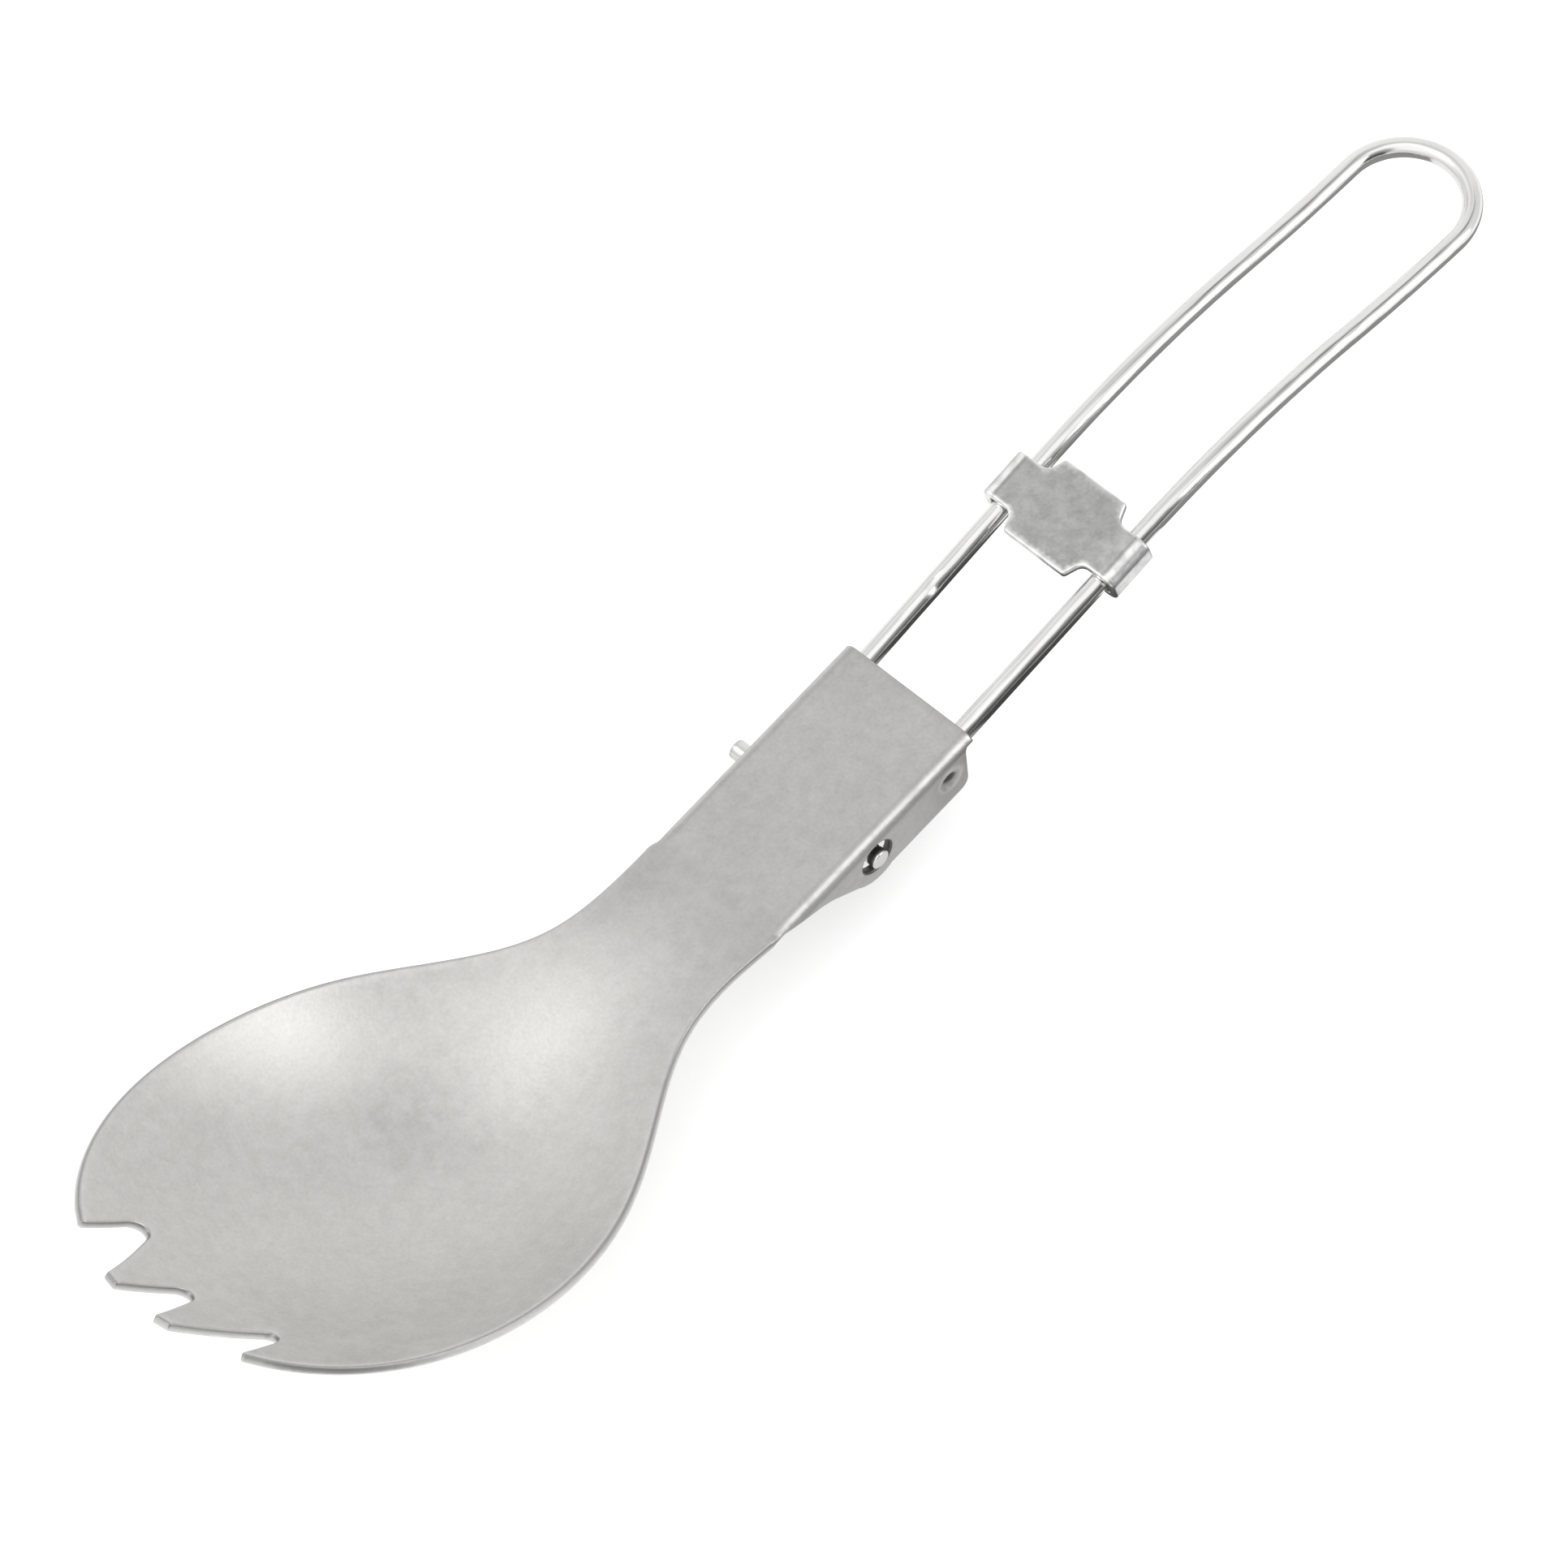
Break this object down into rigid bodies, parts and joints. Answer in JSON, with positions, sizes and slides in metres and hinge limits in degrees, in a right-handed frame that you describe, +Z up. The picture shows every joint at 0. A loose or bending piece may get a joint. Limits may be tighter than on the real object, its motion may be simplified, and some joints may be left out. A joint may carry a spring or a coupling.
{
  "type": "folding spork",
  "caption": "Folding spork: a dished sheet-metal bowl ending in short tines, and a bent wire handle that folds under it, locked by a sliding plate.",
  "frame": {"origin": "middle of the bounding box's base, on the surface that the spork lies on", "axes": "+X back along the open handle, +Z up out of the bowl, +Y completes the right-handed frame"},
  "size_m": [0.174, 0.0432, 0.025],
  "materials": {
    "matte_titanium": "fine bead-blasted titanium, warm light grey and matt",
    "wire_titanium": "drawn titanium wire, polished bright with fine streaks",
    "slider_titanium": "satin titanium sheet, slightly darker and mottled"
  },
  "bodies": {
    "head": {"spork_head": "matte_titanium"},
    "handle": {"wire_handle": "wire_titanium"},
    "slider": {"lock_slider": "slider_titanium"}
  },
  "joints": [
    {"name": "handle_fold", "type": "hinge", "parent": "head", "child": "handle", "pos_m": [-0.00219, 0, 0.0036], "axis": [0, 1, 0], "range_deg": [0, 183]},
    {"name": "slider_slide", "type": "slide", "parent": "handle", "child": "slider", "axis": [0.979, 0, 0.2037], "range_m": [-0.017, 0]}
  ]
}
